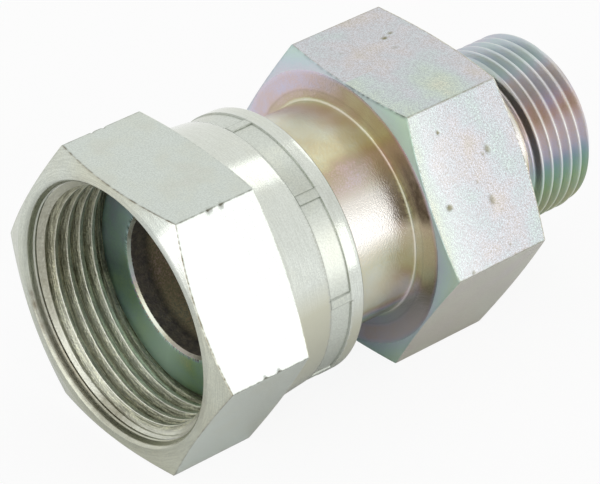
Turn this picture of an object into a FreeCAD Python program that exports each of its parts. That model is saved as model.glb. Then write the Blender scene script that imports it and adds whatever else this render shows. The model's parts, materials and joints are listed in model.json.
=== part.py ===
# Straight adapter with a crimped swivel nut: a flat-faced nose that seals against an o-ring,
# and a parallel pipe-thread stud with an elastomer seal at its collar.
# Millimetres. The axis of the fitting is X, and the stud points along +X.
# The origin is on the axis, in the plane of the collar's sealing face. +Z is up.
import FreeCAD, Part
import math
import os
import re
import Sketcher

doc = FreeCAD.newDocument("swivel_adapter")

# Driving dimensions: alias, value, what it is
SIZES = [
    # body, hexagon, whose flats are level with the nut's
    ("body_hex_length", 17.8, "hexagon from face to face"),
    ("body_hex_land", 0.2, "from the flat in to the turned face circle"),
    ("body_hex_bevel", 15.0, "degrees between the corner bevels and the face"),
    # body, stud and sealing collar
    ("stud_diameter", 26.44, "crests of the G 3/4 thread"),
    ("stud_length", 16.0, "sealing face to the end of the stud"),
    ("stud_bevel", 1.2, "at the end of the stud"),
    ("undercut_depth", 1.22, "neck below the crests of the thread"),
    ("neck_length", 4.5, "sealing face to the foot of the first thread"),
    ("collar_height", 2.75, "hexagon's rear face to the sealing face"),
    ("collar_land", 1.3, "sealing face, from the recess to the edge of the collar"),
    ("collar_bevel", 0.3, "edge of the sealing collar"),
    # seal ring and its recess
    ("recess_depth", 1.4, "sealing face to the floor of the recess"),
    ("seal_width", 2.5, "section of the ring, along the radius"),
    ("seal_height", 1.5, "section of the ring, along the axis"),
    ("seal_bevel", 0.4, "outer and inner edges of the ring's free side"),
    ("seal_fit", 0.05, "radial, from the neck to the ring"),
    ("recess_fit", 0.1, "radial, from the ring to the wall of the recess"),
    # body, barrel and nose
    ("barrel_diameter", 31.6, "barrel behind the shoulder"),
    ("barrel_root", 0.4, "bevel between the barrel and the hexagon's face"),
    ("shoulder_rise", 1.5, "nose above the barrel"),
    ("nose_reach", 28.6, "hexagon's front face to the nose face"),
    ("nose_length", 9.8, "nose face to the start of the shoulder"),
    ("nose_bevel", 0.6, "outer edge of the nose face"),
    # body, flow passage
    ("nose_bore", 20.6, "drilled from the nose"),
    ("nose_bore_depth", 38.0, "nose face to the end of the wide bore"),
    ("throat_rise", 0.2, "smooth throat above the drilled bore"),
    ("throat_length", 2.0, "smooth throat, from the mouth's bevel to the drilled bore"),
    ("mouth_rise", 0.75, "bevel of the mouth above the throat"),
    ("mouth_bevel", 30.0, "degrees between the mouth's bevel and the face"),
    ("stud_bore", 17.0, "drilled from the stud"),
    ("drill_point", 59.0, "half angle of the drill's point"),
    ("stud_mouth_bevel", 0.5, "bore's edge at the end of the stud"),
    # nut, thread and mouth
    ("nut_thread_diameter", 34.22, "minor diameter of the 1 7/16-12 thread"),
    ("countersink_rise", 1.59, "45 degree countersink above the thread"),
    ("counterbore_depth", 1.3, "front face to the start of the countersink"),
    ("mouth_edge", 0.6, "bevel between the counterbore and the front face"),
    ("nut_cover", 11.67, "how far the nut's front face stands before the nose face"),
    ("thread_lead", 0.57, "end of the nut's thread to the nose face"),
    # nut, hexagon
    ("rim_width", 1.2, "mouth's edge to the flats, which makes the wrench size 41"),
    ("nut_hex_length", 15.4, "front face to the root of the skirt"),
    ("nut_face_land", 0.2, "from the flat in to the front face circle"),
    ("nut_face_bevel", 20.0, "degrees between the front corner bevels and the face"),
    ("nut_rear_bevel", 15.0, "degrees between the rear corner bevels and the root plane"),
    # nut, crimped skirt
    ("skirt_wall", 1.8, "round the nose"),
    ("skirt_rise", 0.6, "root of the skirt above the plain skirt"),
    ("skirt_taper", 6.6, "length over which the skirt narrows behind the hexagon"),
    ("skirt_edge", 0.4, "bevel of the skirt's rear edge"),
    ("lip_length", 4.6, "crimped lip on the barrel"),
    ("lip_bevel", 0.3, "inner rear edge of the crimped lip"),
    ("crimp_prints", 8.0, "die prints round the skirt"),
    ("print_margin", 2.4, "die prints to the end of the skirt"),
    ("print_width", 3.5, "along the axis"),
    ("print_depth", 0.2, "die prints below the skirt"),
    ("rib_angle", 4.0, "degrees of plain skirt between two prints"),
    ("rib_turn", 83.0, "degrees round the axis to the middle of a rib"),
    # fits between the nut and the body
    ("nose_gap", 0.3, "radial, round the nose"),
    ("shoulder_play", 0.42, "axial, between the shoulder and the crimped lip"),
    ("running_fit", 0.08, "radial, between the barrel and the crimped lip"),
]
sheet = doc.addObject("Spreadsheet::Sheet", "Sizes")
sheet.Label = "Sizes"
for row, (alias, value, note) in enumerate(SIZES, start=1):
    sheet.set(f"A{row}", str(value))
    sheet.setAlias(f"A{row}", alias)
    sheet.set(f"B{row}", note)
doc.recompute()
size = {alias: value for alias, value, note in SIZES}


# Planes, radii and the wrench size that several outlines share
HEX_REAR = "( 0 - collar_height )"
HEX_FRONT = "( 0 - collar_height - body_hex_length )"
NOSE_FACE = "( 0 - collar_height - body_hex_length - nose_reach )"
NECK_RADIUS = "( stud_diameter / 2 - undercut_depth )"
SEAL_RADIUS = f"( {NECK_RADIUS} + seal_fit + seal_width )"
BARREL_RADIUS = "( barrel_diameter / 2 )"
NOSE_RADIUS = "( barrel_diameter / 2 + shoulder_rise )"
THREAD_RADIUS = "( nut_thread_diameter / 2 )"
COUNTERBORE_RADIUS = f"( {THREAD_RADIUS} + countersink_rise )"
MOUTH_RADIUS = f"( {COUNTERBORE_RADIUS} + mouth_edge )"
WRENCH_FLATS = f"( ( {MOUTH_RADIUS} + rim_width ) * 2 )"


def bound(formula):
    """A formula in the sheet's words, written as an expression of the document."""
    return re.sub("[a-z_]+", lambda word: f"Sizes.{word[0]}" if word[0] in size else word[0], formula)


def new_body(name):
    """A sub-part, with its label as the name of its node."""
    body = doc.addObject("PartDesign::Body", name)
    body.Label = name
    return body


def new_sketch(body, name, plane, corners):
    """A closed outline of straight lines on an origin plane, each corner held by two formulas."""
    sketch = body.newObject("Sketcher::SketchObject", name)
    origin_plane = [f for f in body.Origin.OriginFeatures if f.Role == plane][0]
    sketch.AttachmentSupport = [(origin_plane, "")]
    sketch.MapMode = "FlatFace"
    turns = [2 * math.pi * i / len(corners) for i in range(len(corners))]
    start = [FreeCAD.Vector(math.cos(turn), math.sin(turn), 0) for turn in turns]
    for i in range(len(corners)):
        sketch.addGeometry(Part.LineSegment(start[i], start[(i + 1) % len(corners)]))
    for i, (across, up) in enumerate(corners):
        sketch.addConstraint(Sketcher.Constraint("Coincident", i, 2, (i + 1) % len(corners), 1))
        for kind, place, formula in (("DistanceX", start[i].x, across), ("DistanceY", start[i].y, up)):
            number = sketch.addConstraint(Sketcher.Constraint(kind, -1, 1, i, 1, place))
            sketch.setExpression(f"Constraints[{number}]", bound(formula))
    return sketch


def turned(body, kind, name, corners):
    """Metal added (Revolution) or cut away (Groove) by turning an outline of (x, radius) round the axis."""
    outline = new_sketch(body, name + "_outline", "XZ_Plane", corners)
    feature = body.newObject("PartDesign::" + kind, name)
    feature.Profile = outline
    feature.ReferenceAxis = (outline, ["H_Axis"])
    feature.Angle = 360
    doc.recompute()
    return feature


def hex_bar(body, name, front, length):
    """A hexagonal bar along the axis, resting on a flat, from its front plane back."""
    reach = f"{WRENCH_FLATS} / sqrt(3)"
    corners = [(f"{reach} * cos({turn} deg)", f"{reach} * sin({turn} deg)") for turn in range(0, 360, 60)]
    outline = new_sketch(body, name + "_outline", "YZ_Plane", corners)
    outline.setExpression("AttachmentOffset.Base.z", bound(front))
    bar = body.newObject("PartDesign::Pad", name)
    bar.Profile = outline
    bar.setExpression("Length", bound(length))
    doc.recompute()
    return bar


def bevel_corners(body, name, plane, radius, angle, back):
    """The corners of a hexagon turned down from a circle in a plane; back is + or -, into the metal."""
    beyond = f"{WRENCH_FLATS} * 0.6"
    depth = f"( {beyond} - {radius} ) * tan( {angle} * 1 deg )"
    return turned(body, "Groove", name, [
        (plane, radius),
        (plane, beyond),
        (f"{plane} {back} {depth}", beyond),
    ])


def make_adapter_body():
    """Nose, shoulder, barrel, hexagon, sealing collar and stud, in one turned and milled piece."""
    body = new_body("adapter_body")
    recess_radius = f"{SEAL_RADIUS} + recess_fit"
    collar_radius = f"{recess_radius} + collar_land"
    turned(body, "Revolution", "turned_profile", [
        (NOSE_FACE, "0"),
        (NOSE_FACE, f"{NOSE_RADIUS} - nose_bevel"),
        (f"{NOSE_FACE} + nose_bevel", NOSE_RADIUS),
        (f"{NOSE_FACE} + nose_length", NOSE_RADIUS),
        (f"{NOSE_FACE} + nose_length + shoulder_rise", BARREL_RADIUS),
        (f"{HEX_FRONT} - barrel_root", BARREL_RADIUS),
        (HEX_FRONT, f"{BARREL_RADIUS} + barrel_root"),
        (HEX_REAR, f"{BARREL_RADIUS} + barrel_root"),
        (HEX_REAR, collar_radius),
        ("0 - collar_bevel", collar_radius),
        ("0", f"{collar_radius} - collar_bevel"),
        ("0", recess_radius),
        ("0 - recess_depth", recess_radius),
        ("0 - recess_depth", NECK_RADIUS),
        ("neck_length", NECK_RADIUS),
        ("neck_length + undercut_depth", "stud_diameter / 2"),
        ("stud_length - stud_bevel", "stud_diameter / 2"),
        ("stud_length", "stud_diameter / 2 - stud_bevel"),
        ("stud_length", "0"),
    ])
    hex_bar(body, "hexagon", HEX_FRONT, "body_hex_length")
    face_radius = f"( {WRENCH_FLATS} / 2 - body_hex_land )"
    bevel_corners(body, "front_bevel", HEX_FRONT, face_radius, "body_hex_bevel", "+")
    bevel_corners(body, "rear_bevel", HEX_REAR, face_radius, "body_hex_bevel", "-")
    throat_radius = "nose_bore / 2 + throat_rise"
    throat = f"{NOSE_FACE} + mouth_rise * tan( mouth_bevel * 1 deg )"
    bore_end = f"{NOSE_FACE} + nose_bore_depth"
    point_depth = "( nose_bore - stud_bore ) / 2 / tan( drill_point * 1 deg )"
    turned(body, "Groove", "flow_passage", [
        (NOSE_FACE, "0"),
        (NOSE_FACE, f"{throat_radius} + mouth_rise"),
        (throat, throat_radius),
        (f"{throat} + throat_length", "nose_bore / 2"),
        (bore_end, "nose_bore / 2"),
        (f"{bore_end} + {point_depth}", "stud_bore / 2"),
        ("stud_length - stud_mouth_bevel", "stud_bore / 2"),
        ("stud_length", "stud_bore / 2 + stud_mouth_bevel"),
        ("stud_length", "0"),
    ])
    return body


def make_swivel_nut():
    """Hexagon with an internal thread, and a skirt crimped down behind the body's shoulder."""
    body = new_body("swivel_nut")
    nose_room = f"( {NOSE_RADIUS} + nose_gap )"
    skirt_radius = f"( {nose_room} + skirt_wall )"
    root_radius = f"( {skirt_radius} + skirt_rise )"
    seat = "nut_cover + nose_length + shoulder_play"
    lip_start = f"{seat} + shoulder_rise - running_fit"
    nut_end = f"( {lip_start} + lip_length )"
    hex_bar(body, "hexagon", "0", "nut_hex_length")
    face_radius = f"( {WRENCH_FLATS} / 2 - nut_face_land )"
    bevel_corners(body, "front_bevel", "0", face_radius, "nut_face_bevel", "+")
    bevel_corners(body, "rear_bevel", "nut_hex_length", root_radius, "nut_rear_bevel", "-")
    turned(body, "Revolution", "skirt", [
        ("nut_hex_length / 2", "0"),
        ("nut_hex_length / 2", root_radius),
        ("nut_hex_length", root_radius),
        ("nut_hex_length + skirt_taper", skirt_radius),
        (f"{nut_end} - skirt_edge", skirt_radius),
        (nut_end, f"{skirt_radius} - skirt_edge"),
        (nut_end, "0"),
    ])
    thread_end = "nut_cover - thread_lead"
    lip_radius = f"( {BARREL_RADIUS} + running_fit )"
    turned(body, "Groove", "socket", [
        ("0", "0"),
        ("0", MOUTH_RADIUS),
        ("mouth_edge", COUNTERBORE_RADIUS),
        ("counterbore_depth", COUNTERBORE_RADIUS),
        ("counterbore_depth + countersink_rise", THREAD_RADIUS),
        (thread_end, THREAD_RADIUS),
        (f"{thread_end} + {nose_room} - {THREAD_RADIUS}", nose_room),
        (f"{seat} - nose_gap", nose_room),
        (lip_start, lip_radius),
        (f"{nut_end} - lip_bevel", lip_radius),
        (nut_end, f"{lip_radius} + lip_bevel"),
        (nut_end, "0"),
    ])
    add_crimp_prints(body, skirt_radius, nut_end)
    body.setExpression("Placement.Base.x", bound(f"{NOSE_FACE} - nut_cover"))
    return body


def add_crimp_prints(body, skirt_radius, nut_end):
    """One die print in the skirt, cut through an arc of the turn, and its copies round the axis."""
    print_end = f"{nut_end} - print_margin"
    print_cut = turned(body, "Groove", "crimp_print", [
        (f"{print_end} - print_width", f"{skirt_radius} - print_depth"),
        (print_end, f"{skirt_radius} - print_depth"),
        (print_end, f"{skirt_radius} + print_depth"),
        (f"{print_end} - print_width", f"{skirt_radius} + print_depth"),
    ])
    print_cut.setExpression("Angle", bound("360 / crimp_prints - rib_angle"))
    outline = print_cut.Profile[0]
    outline.AttachmentOffset = FreeCAD.Placement(FreeCAD.Vector(), FreeCAD.Rotation(FreeCAD.Vector(1, 0, 0), 1))
    outline.setExpression("AttachmentOffset.Rotation.Angle", bound("rib_turn + rib_angle / 2 - 90"))
    around = body.newObject("PartDesign::PolarPattern", "crimp_ring")
    around.Originals = [print_cut]
    around.Axis = (print_cut.Profile[0], ["H_Axis"])
    around.Angle = 360
    around.setExpression("Occurrences", bound("crimp_prints"))
    body.Tip = around
    doc.recompute()


def make_stud_seal_ring():
    """Moulded seal ring, stretched on the neck and seated in the collar's recess."""
    body = new_body("stud_seal_ring")
    inner = f"( {NECK_RADIUS} + seal_fit )"
    turned(body, "Revolution", "moulded_ring", [
        ("0", inner),
        ("0", SEAL_RADIUS),
        ("seal_height - seal_bevel", SEAL_RADIUS),
        ("seal_height", f"{SEAL_RADIUS} - seal_bevel"),
        ("seal_height", f"{inner} + seal_bevel"),
        ("seal_height - seal_bevel", inner),
    ])
    body.setExpression("Placement.Base.x", bound("0 - recess_depth"))
    return body


sub_parts = [make_adapter_body(), make_swivel_nut(), make_stud_seal_ring()]
doc.recompute()

for thing in doc.Objects:
    if "Invalid" in thing.State or "Error" in thing.State:
        raise RuntimeError(f"{thing.Label} failed: {thing.State}")
for part in sub_parts:
    if part.Shape.isNull() or not part.Shape.isValid() or len(part.Shape.Solids) != 1:
        raise RuntimeError(f"{part.Label} isn't one valid solid")

os.makedirs("parts", exist_ok=True)
for part in sub_parts:
    part.Shape.exportStep(f"parts/{part.Label}.step")
    box = part.Shape.BoundBox
    print(f"{part.Label}: {part.Shape.Volume:.0f} mm3, x {box.XMin:.2f} to {box.XMax:.2f}")
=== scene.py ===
"""Looks of a straight hydraulic adapter with a crimped swivel nut, on a pale table under soft light."""

import json
import math

import bmesh
import bpy
import numpy as np
from mathutils import Matrix, Vector


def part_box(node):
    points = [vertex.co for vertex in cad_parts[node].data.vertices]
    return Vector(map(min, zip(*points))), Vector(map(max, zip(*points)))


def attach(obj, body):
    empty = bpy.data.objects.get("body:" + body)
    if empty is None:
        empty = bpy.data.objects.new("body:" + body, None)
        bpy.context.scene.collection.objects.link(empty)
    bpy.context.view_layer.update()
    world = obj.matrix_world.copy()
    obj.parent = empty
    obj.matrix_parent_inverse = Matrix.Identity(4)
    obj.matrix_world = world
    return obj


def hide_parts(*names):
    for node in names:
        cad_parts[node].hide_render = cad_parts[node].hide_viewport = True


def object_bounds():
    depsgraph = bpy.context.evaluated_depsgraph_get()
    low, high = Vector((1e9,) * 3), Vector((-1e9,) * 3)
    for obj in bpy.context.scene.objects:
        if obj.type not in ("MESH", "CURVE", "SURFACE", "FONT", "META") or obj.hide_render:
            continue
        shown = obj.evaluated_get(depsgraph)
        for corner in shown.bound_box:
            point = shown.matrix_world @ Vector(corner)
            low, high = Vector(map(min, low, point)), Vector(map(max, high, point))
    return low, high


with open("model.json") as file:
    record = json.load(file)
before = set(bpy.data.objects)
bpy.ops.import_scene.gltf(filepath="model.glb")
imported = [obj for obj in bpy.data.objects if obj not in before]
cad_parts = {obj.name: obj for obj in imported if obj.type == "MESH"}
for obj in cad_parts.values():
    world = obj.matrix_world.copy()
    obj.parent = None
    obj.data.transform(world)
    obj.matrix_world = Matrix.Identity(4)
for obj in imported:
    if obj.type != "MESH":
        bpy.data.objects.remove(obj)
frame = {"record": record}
cad_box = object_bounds()

MM = 0.001
mounts = {mount["name"]: mount for mount in frame["record"]["mounts"]}

# Stations along the axis and radii, in millimetres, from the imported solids
body_low, body_high = (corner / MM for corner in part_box("adapter_body"))
nut_low, nut_high = (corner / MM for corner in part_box("swivel_nut"))
seal_low, seal_high = (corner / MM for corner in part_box("stud_seal_ring"))
HALF_FLATS = body_high.z
NOSE_FACE, STUD_END = body_low.x, body_high.x
NUT_FACE, NUT_END = nut_low.x, nut_high.x
STUD_RADIUS = mounts["port_stud"]["dims"]["r_mm"]
STUD_BORE = mounts["stud_flow_bore"]["dims"]["r_mm"]
NOSE_BORE = mounts["nose_flow_bore"]["dims"]["r_mm"]
NUT_THREAD_RADIUS = mounts["nut_thread"]["dims"]["r_mm"]

# Hexagons of body and nut: the turned circle on their faces, the radius of their broken corners, and how
# far the worn plating reaches from a corner
HEX_CIRCLE = HALF_FLATS - 0.2
HEX_CORNER = 0.12
CORNER_WEAR = 0.11

# Body, in millimetres, as in the solids: stations on the axis, and whatever is round by its radius
HEX_REAR = -2.75
HEX_FRONT = -20.55
HEX_BEVEL = math.radians(15)
BARREL = 15.8
BARREL_FILLET = 0.3
NOSE = 17.3
NOSE_LENGTH = 9.8
NOSE_BEVEL = 0.6
COLLAR = 15.95
COLLAR_BEVEL = 0.3
RECESS = 14.65
RECESS_DEPTH = 1.4
NECK = 12.0
NECK_END = 4.5
STUD_BEVEL = 1.2
MOUTH = 11.25
THROAT = 10.75
MOUTH_DEPTH = (MOUTH - THROAT) * math.tan(math.radians(30))
THROAT_END = NOSE_FACE + MOUTH_DEPTH + 2.0
NOSE_BORE_DEPTH = 38.0
DRILL_POINT = math.radians(59)
BORE_EDGE = 0.5
# Where one finish or film gives way to another: along the barrel and bores, and out on the hexagon's face
ROOT_START = HEX_FRONT - 1.3 * BARREL_FILLET
BORE_START = THROAT_END + 2
FACED_END = STUD_END - 3
FILM_RING = 17.2
# Strip of the flats that is dressed like the bevels next to it, on the body and on the nut
HEX_EDGE = 0.1
NUT_EDGE = 0.15

# Nut, in millimetres, as in the solids: stations from its front face, and whatever is round by its radius
NUT_BEVEL = math.radians(20)
NUT_REAR_BEVEL = math.radians(15)
NUT_HEX_LENGTH = 15.4
SKIRT_ROOT = 20.0
SKIRT = 19.4
SKIRT_EDGE = 0.4
NUT_MOUTH = 19.3
MOUTH_EDGE = 0.4
COUNTERBORE = 18.72
COUNTERBORE_END = 1.35
LEAD_IN = 18.5
LEAD_IN_START = 1.75
NUT_THREAD_END = 11.1
NOSE_ROOM = 17.6
NOSE_ROOM_END = 21.59
LIP = 15.88
LIP_START = 23.31
LIP_BEVEL = 0.3
# Prints of the crimping dies, whose ribs stand at angles in degrees round the axis
PRINT_START = 22.01
PRINT_END = 25.51
PRINT_DEPTH = 0.2
PRINTS = 8
RIB_TURN = 83.0
RIB_HALF_ANGLE = 2.0
# The thin step between counterbore and lead-in, and the groove behind it
STEP_WIDTH = 0.18
STEP_RISE = 0.17
GROOVE_WALL = 0.04
# Where the nut's threaded skin starts and ends, on the axis
SOCKET_START = NUT_FACE + LEAD_IN_START
SOCKET_END = NUT_FACE + NUT_THREAD_END + NOSE_ROOM - NUT_THREAD_RADIUS

# Seal ring's section
SEAL_WIDTH = 2.5
SEAL_BEVEL = 0.4

# Threads: G 3/4 on the stud and 1 7/16-12 in the nut, each with the place of a crest at the angle 0, from
# one that the photograph shows at the angle 150 or 317
STUD_PITCH = 25.4 / 14
STUD_CREST = 5.91 - STUD_PITCH * 150 / 360
# Depth of a pipe thread and radius of its rounded crests and roots, as shares of its pitch
PIPE_THREAD_DEPTH = 0.640327
PIPE_THREAD_ROUNDING = 0.137329
NUT_PITCH = 25.4 / 12
NUT_RIDGE = -56.965 - NUT_PITCH * 317 / 360
NUT_THREAD_ROOT = 18.26
# Half of the nut's ridge: turns from its middle, and height; its flat is P/4 wide, with rounded edges
NUT_PROFILE = {0.095: 1, 0.115: 0.9893, 0.135: 0.9573, 0.155: 0.904, 0.4375: 0}
# Where rows run along a thread, in turns from its crest
STUD_ROWS = np.arange(24) / 24
NUT_ROWS = np.array([-0.5, -0.4375, -0.42, -0.36, -0.29, -0.22, -0.155, -0.135, -0.115, -0.095, -0.03, 0.03,
                     0.095, 0.115, 0.135, 0.155, 0.22, 0.29, 0.36, 0.42, 0.4375])

# Values that the mesh tells its finishes: how thick the film is; where it is thin, and where a highlight is
# painted (on the nut's skirt, painted shade); and where it is worn off, dirty or rusty, and where shade is
# painted
FIELDS = ("film", "bare", "stain")
# Edges that turn by more than this stay sharp
SHARP_EDGE = math.radians(30)
# Points nearer than the first are joined, and edges shorter than the second are dropped, in metres
JOIN_DISTANCE, SHORTEST_EDGE = 2e-6, 1e-7

# A pit of this depth is fully stained
DEEP_PIT = 0.08
# Pits in the body's flats: angle of the flat, x, way across the flat, length, width, depth
BODY_PITS = [
    (150, -17.35, 1.9, 1.0, 0.8, 0.08),
    (150, -10.15, 3.4, 0.9, 1.3, 0.05),
    (150, -8.35, -3.3, 0.9, 1.1, 0.055),
    (150, -9.35, -2.9, 0.5, 0.4, 0.05),
    (150, -15.45, -8.2, 0.5, 0.5, 0.08),
    (150, -11.65, 0.3, 0.3, 0.4, 0.04),
    (150, -6.25, 0.4, 0.3, 0.3, 0.03),
    (150, -9.55, 10.1, 0.4, 0.3, 0.04),
    (150, -16.8, 11.5, 0.7, 0.5, 0.05),
    (90, -8.55, -5.1, 0.9, 0.6, 0.08),
    (90, -7.05, -5.6, 0.8, 0.5, 0.06),
    (90, -9.05, -2.4, 0.9, 0.5, 0.03),
    (90, -15.95, -5.8, 0.4, 0.4, 0.03),
]
# Knocks on the nut's corners: angle of the corner, x from the nut's face, length, depth
NUT_KNOCKS = [
    (120, 6.75, 0.5, 0.22),
    (120, 7.25, 0.35, 0.12),
    (120, 8.9, 0.6, 0.25),
    (60, 6.3, 0.4, 0.14),
    (60, 8.2, 0.5, 0.15),
    (180, 7.05, 0.5, 0.16),
    (180, 9.4, 0.6, 0.18),
]
# How far a knock reaches to either side of its corner
KNOCK_REACH = 0.28


def degrees_round(step, extra=()):
    """Angles round the axis in degrees, evenly spaced, with finer ones added where an edge runs."""
    angles = set(np.round(np.arange(0, 360, step), 4))
    angles.update(round(float(angle) % 360, 4) for angle in extra)
    return np.array(sorted(angles))


# Finer columns of the meshes, in degrees: at the hexagons' corners, and along both edges of each rib
CORNER_SIDES = (-0.45, -0.25, -0.15, -0.05, 0.05, 0.15, 0.25, 0.45)
CORNER_COLUMNS = [60 * corner + side for corner in range(6) for side in CORNER_SIDES]
RIB_COLUMNS = [RIB_TURN + 360 / PRINTS * rib + side * (RIB_HALF_ANGLE + more)
               for rib in range(PRINTS) for side in (-1, 1) for more in (0, 0.35)]


def hexagon(angles):
    """Distance from the axis to a hexagon's flats, with its corners broken by a small radius."""
    off = np.radians(np.minimum(angles % 60, 60 - angles % 60))
    flat = HALF_FLATS / np.cos(math.radians(30) - off)
    centre = (HALF_FLATS - HEX_CORNER) / math.cos(math.radians(30))
    tangent = math.atan2(HEX_CORNER / 2, centre + HEX_CORNER * math.cos(math.radians(30)))
    inside = np.sqrt(np.maximum(HEX_CORNER ** 2 - (centre * np.sin(off)) ** 2, 0))
    return np.where(off < tangent, centre * np.cos(off) + inside, flat)


def bevel_rise(angles, circle, bevel):
    """How far a corner bevel runs along the axis, from a turned circle out to the hexagon."""
    return (hexagon(angles) - circle) * math.tan(bevel)


def rows_of(angles, corners):
    """Rows of a turned surface through (x, radius, setback, steps) corners, each rounded by its setback."""
    count = len(angles)
    points = [np.stack([np.broadcast_to(x, count), np.broadcast_to(r, count)], 1).astype(float)
              for x, r, *rest in corners]
    rows = []
    for i, (x, r, *rest) in enumerate(corners):
        setback = rest[0] if rest else 0
        steps = rest[1] if len(rest) > 1 else 2
        point = points[i]
        if not setback or i in (0, len(corners) - 1):
            rows.append(point)
            continue
        before, after = points[i - 1] - point, points[i + 1] - point
        before /= np.linalg.norm(before, axis=1, keepdims=True)
        after /= np.linalg.norm(after, axis=1, keepdims=True)
        opening = np.arccos(np.clip((before * after).sum(1, keepdims=True), -1, 1))
        weight = np.sin(opening / 2)
        start, end = point + setback * before, point + setback * after
        for share in np.linspace(0, 1, steps + 1):
            low, middle, high = (1 - share) ** 2, 2 * share * (1 - share) * weight, share ** 2
            rows.append((low * start + middle * point + high * end) / (low + middle + high))
    return np.array(rows)


def between(rows, spacing):
    """The same rows with straight stretches divided, so that none is longer than the spacing."""
    finer = [rows[0]]
    for row, following in zip(rows, rows[1:]):
        pieces = max(1, math.ceil(np.abs(following - row).max() / spacing))
        finer += [row + (following - row) * share / pieces for share in range(1, pieces + 1)]
    return np.array(finer)


def put_in_scene(name, data):
    """A new object of the scene, from a mesh, a lamp or a lens."""
    piece = bpy.data.objects.new(name, data)
    bpy.context.scene.collection.objects.link(piece)
    return piece


class Turning:
    """A mesh of turned bands, which share the angles round the axis and the piece's finishes by name."""

    def __init__(self, name, angles, finishes):
        self.name, self.angles, self.finishes = name, angles, finishes
        self.cos, self.sin = np.cos(np.radians(angles)), np.sin(np.radians(angles))
        self.points, self.faces, self.slots = [], [], []
        self.fields = {field: [] for field in FIELDS}
        self.count = 0

    def band(self, rows, finish, rows_per_turn=0, **fields):
        """Quads between rows of (x, radius); rows_per_turn shifts the seam where the rows are helical."""
        height, width = rows.shape[:2]
        x, r = rows[..., 0], rows[..., 1]
        self.points.append(np.stack([x, r * self.cos, r * self.sin], 2).reshape(-1, 3))
        row, column = np.meshgrid(np.arange(height - 1), np.arange(width), indexing="ij")
        beside = (column + 1) % width
        shift = np.where(beside == 0, rows_per_turn, 0)
        low, high = np.minimum(row + shift, height - 1), np.minimum(row + 1 + shift, height - 1)
        quads = np.stack([row * width + column, (row + 1) * width + column,
                          high * width + beside, low * width + beside], 2).reshape(-1, 4)
        self.faces.append(quads + self.count)
        self.slots.append(np.full(len(quads), list(self.finishes).index(finish)))
        for name, values in self.fields.items():
            values.append(np.broadcast_to(fields.get(name, 0), x.shape).reshape(-1))
        self.count += height * width

    def finish_mesh(self, body, node):
        """Joins the bands, closes the mesh, and puts it in the place of its solid."""
        mesh = bpy.data.meshes.new(self.name)
        points = np.concatenate(self.points) * MM
        mesh.from_pydata(points.tolist(), [], np.concatenate(self.faces).tolist())
        for finish in self.finishes.values():
            mesh.materials.append(finish)
        mesh.polygons.foreach_set("material_index", np.concatenate(self.slots).astype(np.int32))
        for name, values in self.fields.items():
            field = mesh.attributes.new(name, "FLOAT", "POINT")
            field.data.foreach_set("value", np.concatenate(values).astype(np.float32))
        build = bmesh.new()
        build.from_mesh(mesh)
        bmesh.ops.remove_doubles(build, verts=build.verts, dist=JOIN_DISTANCE)
        bmesh.ops.dissolve_degenerate(build, edges=build.edges, dist=SHORTEST_EDGE)
        bmesh.ops.recalc_face_normals(build, faces=build.faces)
        for face in build.faces:
            face.smooth = True
        for edge in build.edges:
            edge.smooth = len(edge.link_faces) == 2 and edge.calc_face_angle(0) < SHARP_EDGE
        build.to_mesh(mesh)
        build.free()
        piece = put_in_scene(self.name, mesh)
        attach(piece, body)
        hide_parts(node)


def pipe_thread(phase, pitch):
    """Height of a 55 degree pipe thread, from 0 at the rounded root to 1 at the rounded crest."""
    half_angle = math.radians(27.5)
    height, rounding = pitch * PIPE_THREAD_DEPTH, pitch * PIPE_THREAD_ROUNDING
    off = np.abs((phase + 0.5) % 1 - 0.5) * pitch
    middle = height / 2 - rounding
    crest = middle + np.sqrt(np.maximum(rounding ** 2 - off ** 2, 0))
    root = -middle - np.sqrt(np.maximum(rounding ** 2 - (pitch / 2 - off) ** 2, 0))
    tangent = rounding * math.cos(half_angle)
    slope = (pitch / 4 - off) / math.tan(half_angle)
    level = np.where(off < tangent, crest, np.where(off > pitch / 2 - tangent, root, slope))
    return level / height + 0.5


def inch_thread(phase):
    """Height of an internal 60 degree thread's ridge, from 0 in its root to 1 on its flat."""
    off = np.abs((phase + 0.5) % 1 - 0.5)
    return np.interp(off, list(NUT_PROFILE), list(NUT_PROFILE.values()))


def stud_radius(x, phase):
    """Radius of the stud's thread, which a bevel cuts off at each end."""
    ridge = STUD_RADIUS - STUD_PITCH * PIPE_THREAD_DEPTH * (1 - pipe_thread(phase, STUD_PITCH))
    lead_in = NECK + (x - NECK_END)
    lead_out = STUD_RADIUS - STUD_BEVEL + (STUD_END - x)
    return np.minimum(np.minimum(ridge, lead_in), lead_out)


def socket_radius(x, phase):
    """Radius of the nut's thread, between its lead-in cone and its run-out into the nose's room."""
    groove = NUT_THREAD_RADIUS + (NUT_THREAD_ROOT - NUT_THREAD_RADIUS) * (1 - inch_thread(phase))
    groove = np.maximum(groove, NUT_THREAD_RADIUS + x - NUT_FACE - NUT_THREAD_END)
    return np.maximum(np.minimum(groove, NOSE_ROOM + (SOCKET_END - x) * 2), LEAD_IN - (x - SOCKET_START))


def helical_rows(angles, start, end, pitch, crest, rows, radius_at):
    """Rows that follow a right-hand helix between two planes, and lie flat on the planes at both ends."""
    turns = np.arange(math.floor((start - crest) / pitch) - 1, math.ceil((end - crest) / pitch) + 2)
    phase = (turns[:, None] + rows).reshape(-1, 1)
    x = np.clip(crest + pitch * (phase + angles / 360), start, end)
    return np.stack([x, radius_at(x, phase)], 2)


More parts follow.
